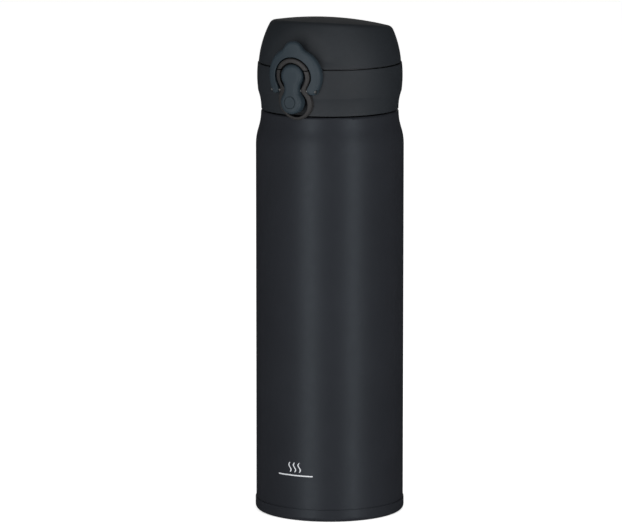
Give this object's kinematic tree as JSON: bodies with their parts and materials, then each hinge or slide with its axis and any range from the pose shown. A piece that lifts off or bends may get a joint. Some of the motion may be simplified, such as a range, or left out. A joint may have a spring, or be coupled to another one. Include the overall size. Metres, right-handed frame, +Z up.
{
  "type": "vacuum flask",
  "caption": "Slim steel vacuum flask with a screw-on cap, a push-button lid on a rear hinge and a safety ring around the button.",
  "frame": {"origin": "centre of the foot, on the surface that the flask stands on", "axes": "+Z up along the bottle; the button faces -Y and the lid's hinge is at +Y"},
  "size_m": [0.0658, 0.074, 0.2197],
  "materials": {
    "painted_steel": "satin blue-black paint",
    "bare_steel": "electropolished",
    "foot_steel": "satin blue-black paint",
    "foil": "bright foil",
    "getter_metal": "sintered, dull",
    "sealing_glass": "fired glass bead",
    "charcoal_plastic": "fine matte, moulded",
    "slate_plastic": "fine matte, moulded",
    "inner_plastic": "smooth moulded",
    "spout_plastic": "smooth moulded",
    "silicone": "translucent silicone",
    "pin_steel": "drawn",
    "spring_steel": "drawn wire"
  },
  "bodies": {
    "flask": {"outer_shell": "painted_steel", "shell_bottom": "bare_steel", "inner_bottle": "bare_steel", "inner_bottom": "bare_steel", "reflector_foil": "foil", "getter": "getter_metal", "vacuum_plug": "sealing_glass", "base_cover": "foot_steel"},
    "cap_carrier": {"mouth_gasket": "silicone"},
    "cap": {"collar": "charcoal_plastic", "stopper": "inner_plastic", "spout": "spout_plastic", "spout_seal": "silicone", "hinge_pin": "pin_steel", "hinge_spring": "spring_steel", "front_pin": "pin_steel", "button_spring": "spring_steel"},
    "button": {"release_button": "slate_plastic"},
    "lock_ring": {"lock_ring": "slate_plastic"},
    "lid": {"lid_shell": "charcoal_plastic", "lid_liner": "inner_plastic", "lid_gasket": "silicone"}
  },
  "joints": [
    {"name": "cap_lift", "type": "slide", "parent": "flask", "child": "cap_carrier", "axis": [0, 0, 1], "range_m": [0, 0.0161]},
    {"name": "cap_turn", "type": "hinge", "parent": "cap_carrier", "child": "cap", "pos_m": [0, 0, 0.19], "axis": [0, 0, 1], "range_deg": [0, 720]},
    {"name": "lid_hinge", "type": "hinge", "parent": "cap", "child": "lid", "pos_m": [0, 0.0337, 0.198], "axis": [-1, 0, 0], "range_deg": [0, 150]},
    {"name": "button_press", "type": "hinge", "parent": "cap", "child": "button", "pos_m": [0, -0.0327, 0.1903], "axis": [1, 0, 0], "range_deg": [0, 9], "stiffness_Nm_per_rad": 0.1, "springref_deg": -5.73, "deforming": ["button_spring"]},
    {"name": "ring_swing", "type": "hinge", "parent": "cap", "child": "lock_ring", "pos_m": [0, -0.0327, 0.1903], "axis": [1, 0, 0], "range_deg": [0, 55]}
  ],
  "couplings": [
    {"joint": "cap_lift", "follows": "cap_turn", "m_per_rad": 0.0012732}
  ]
}
